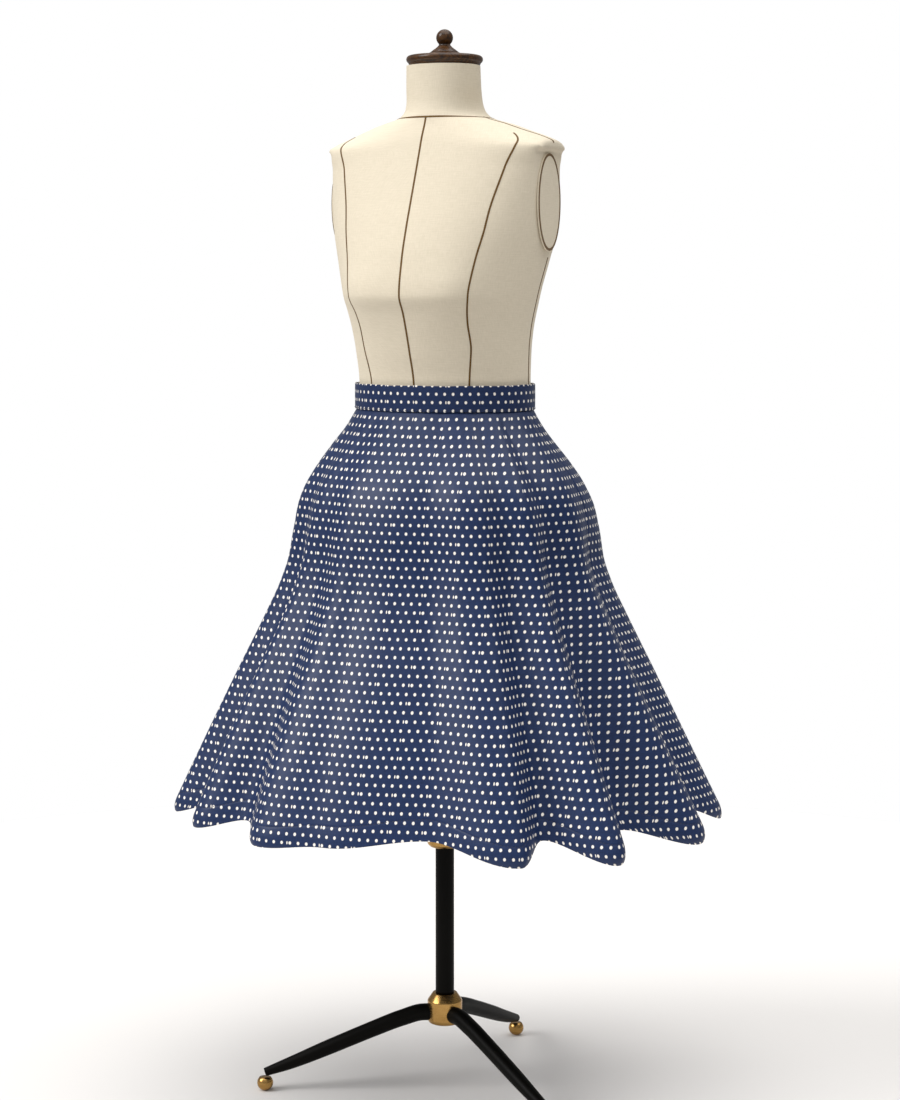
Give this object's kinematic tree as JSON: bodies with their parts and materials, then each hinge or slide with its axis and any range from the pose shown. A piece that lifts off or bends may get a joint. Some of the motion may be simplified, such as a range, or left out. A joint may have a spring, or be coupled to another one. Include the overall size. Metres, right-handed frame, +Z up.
{
  "type": "circle skirt on dress form",
  "caption": "Flared knee-length circle skirt with a narrow waistband, draped in soft folds on a limbless linen dress form on a pole with tripod legs.",
  "frame": {"origin": "on the floor, on the pole's axis, under the middle of the whole", "axes": "+Z up; the figure faces -Y; +X is the figure's left side"},
  "size_m": [0.7965, 0.6739, 1.4586],
  "materials": {
    "cotton": "matt woven cotton with small white dots",
    "linen": "natural linen cover",
    "wood": "turned and varnished",
    "brass": "satin polished",
    "black_steel": "semi-gloss black lacquer",
    "zip_tape": "woven tape",
    "zip_metal": "nickel plated",
    "button": "dyed resin"
  },
  "bodies": {
    "stand": {"hub": "brass", "lower_tube": "black_steel", "collar": "brass", "leg_front_left": "black_steel", "leg_front_right": "black_steel", "leg_back": "black_steel", "foot_front_left": "brass", "foot_front_right": "brass", "foot_back": "brass"},
    "form": {"form_torso": "linen", "arm_plate_left": "linen", "arm_plate_right": "linen", "neck_cap": "wood", "finial": "wood", "form_base": "wood", "rod_socket": "black_steel", "inner_rod": "black_steel", "skirt_front": "cotton", "skirt_back_left": "cotton", "skirt_back_right": "cotton", "waistband": "cotton", "button": "button", "zip_tape": "zip_tape", "zip_slider": "zip_metal"},
    "pull_tab": {"zip_pull_tab": "zip_metal"}
  },
  "joints": [
    {"name": "height", "type": "slide", "parent": "stand", "child": "form", "axis": [0, 0, 1], "range_m": [-0.1, 0.08]},
    {"name": "zip_pull", "type": "hinge", "parent": "form", "child": "pull_tab", "pos_m": [0, 0.11148, 0.94067], "axis": [1, 0, 0], "range_deg": [0, 150]}
  ]
}
